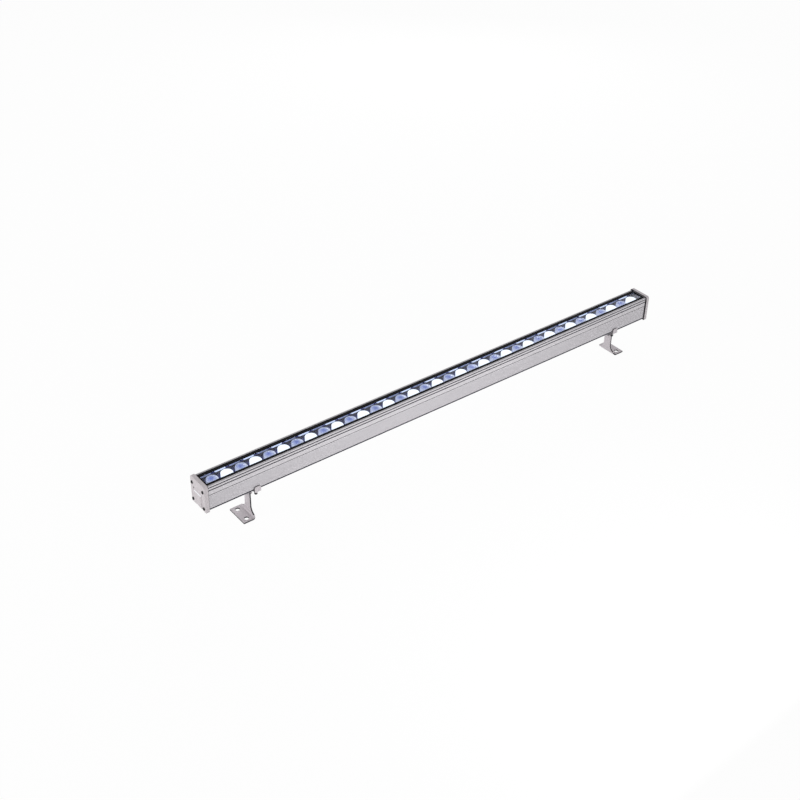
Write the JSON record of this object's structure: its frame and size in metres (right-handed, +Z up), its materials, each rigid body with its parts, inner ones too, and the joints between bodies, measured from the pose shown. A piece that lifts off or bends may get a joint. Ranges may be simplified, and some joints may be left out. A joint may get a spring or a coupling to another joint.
{
  "type": "wall washer light",
  "caption": "Slim linear wall washer: ribbed aluminium housing with a row of lenses under glass, on two clips that slide along it and carry tilting feet.",
  "frame": {"origin": "on the ground under the feet, at the middle of the housing's length and width", "axes": "+X along the lamp towards the end with the cable gland, +Z up, -Y towards the side with the lock screws"},
  "size_m": [1.0115, 0.045, 0.1069],
  "materials": {
    "extruded_aluminium": "clear anodised extrusion, fine lengthwise grain",
    "cast_aluminium": "blasted die casting",
    "black_silicone": "matt silicone",
    "black_screw": "black oxide steel",
    "clear_glass": "clear tempered glass",
    "tray_plastic": "dark moulded plastic",
    "lens_pale": "clear optical plastic, unlit",
    "lens_lit": "clear optical plastic, lit",
    "board_white": "white coated metal-core board",
    "led_phosphor": "phosphor under a clear dome",
    "driver_case": "potting compound",
    "terminal_plastic": "moulded plastic",
    "gland_nylon": "black nylon",
    "bracket_metal": "stainless plate, satin",
    "bright_steel": "zinc-plated steel"
  },
  "bodies": {
    "lamp": {"housing": "extruded_aluminium", "left_end_cap": "cast_aluminium", "right_end_cap": "cast_aluminium", "left_end_gasket": "black_silicone", "right_end_gasket": "black_silicone", "cap_screws": "black_screw", "cover_glass": "clear_glass", "glass_seal": "black_silicone", "lens_tray": "tray_plastic", "led_board": "board_white", "led_emitters": "led_phosphor", "driver_module": "driver_case", "terminal_block": "terminal_plastic", "cable_gland": "gland_nylon", "gland_seal": "black_silicone", "gland_nut": "gland_nylon", "lens_01": "lens_pale", "lens_02": "lens_lit", "lens_03": "lens_pale", "lens_04": "lens_lit", "lens_05": "lens_pale", "lens_06": "lens_lit", "lens_07": "lens_pale", "lens_08": "lens_lit", "lens_09": "lens_pale", "lens_10": "lens_lit", "lens_11": "lens_pale", "lens_12": "lens_lit", "lens_13": "lens_pale", "lens_14": "lens_lit", "lens_15": "lens_pale", "lens_16": "lens_lit", "lens_17": "lens_pale", "lens_18": "lens_lit", "lens_19": "lens_pale", "lens_20": "lens_lit", "lens_21": "lens_pale", "lens_22": "lens_lit", "lens_23": "lens_pale", "lens_24": "lens_lit", "lens_25": "lens_pale", "lens_26": "lens_lit", "lens_27": "lens_pale", "lens_28": "lens_lit", "lens_29": "lens_pale", "lens_30": "lens_lit", "lens_31": "lens_pale", "lens_32": "lens_lit", "lens_33": "lens_pale", "lens_34": "lens_lit", "lens_35": "lens_pale", "lens_36": "lens_lit"},
    "left_clip": {"left_clip": "bracket_metal", "left_lock_screw": "black_screw", "left_pivot_fasteners": "bright_steel"},
    "right_clip": {"right_clip": "bracket_metal", "right_lock_screw": "black_screw", "right_pivot_fasteners": "bright_steel"},
    "left_foot": {"left_foot": "bracket_metal"},
    "right_foot": {"right_foot": "bracket_metal"}
  },
  "joints": [
    {"name": "left_clip_slide", "type": "slide", "parent": "lamp", "child": "left_clip", "axis": [1, 0, 0], "range_m": [-0.075, 0.36]},
    {"name": "left_foot_tilt", "type": "hinge", "parent": "left_clip", "child": "left_foot", "pos_m": [-0.4035, 0, 0.0463], "axis": [1, 0, 0], "range_deg": [-90, 90]},
    {"name": "right_clip_slide", "type": "slide", "parent": "lamp", "child": "right_clip", "axis": [-1, 0, 0], "range_m": [-0.065, 0.36]},
    {"name": "right_foot_tilt", "type": "hinge", "parent": "right_clip", "child": "right_foot", "pos_m": [0.4125, 0, 0.0463], "axis": [1, 0, 0], "range_deg": [-90, 90]}
  ]
}
